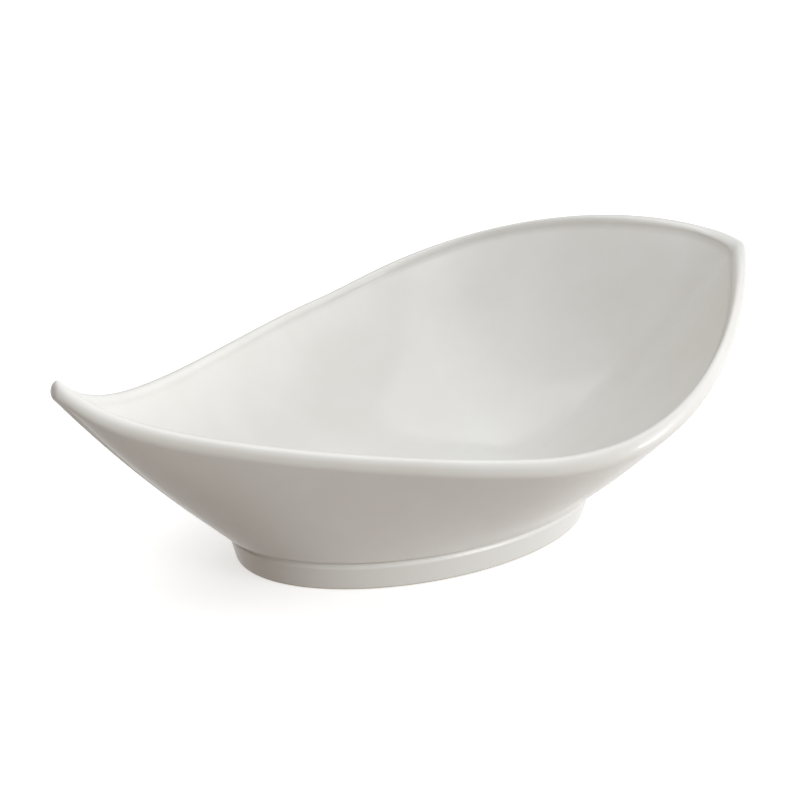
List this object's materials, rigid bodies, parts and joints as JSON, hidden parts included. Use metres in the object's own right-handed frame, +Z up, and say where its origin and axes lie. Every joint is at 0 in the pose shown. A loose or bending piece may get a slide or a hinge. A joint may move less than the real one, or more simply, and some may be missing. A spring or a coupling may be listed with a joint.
{
  "type": "leaf-shaped serving bowl",
  "caption": "Leaf-shaped glazed porcelain serving bowl with two raised pointed ends, a smoothly rounded lip and a low oval foot ring.",
  "frame": {"origin": "on the table, under the middle of the bowl's box", "axes": "+X from the narrow beak to the blunt corner, +Z up, the XZ plane is the plane of symmetry"},
  "size_m": [0.2966, 0.2028, 0.0985],
  "materials": {
    "white_glaze": "clear gloss glaze over white porcelain",
    "foot_glaze": "gloss glaze on the sides, wiped to matt bare porcelain on the edge that stands on the table"
  },
  "bodies": {
    "root": {"bowl_body": "white_glaze", "foot_ring": "foot_glaze"}
  },
  "joints": []
}
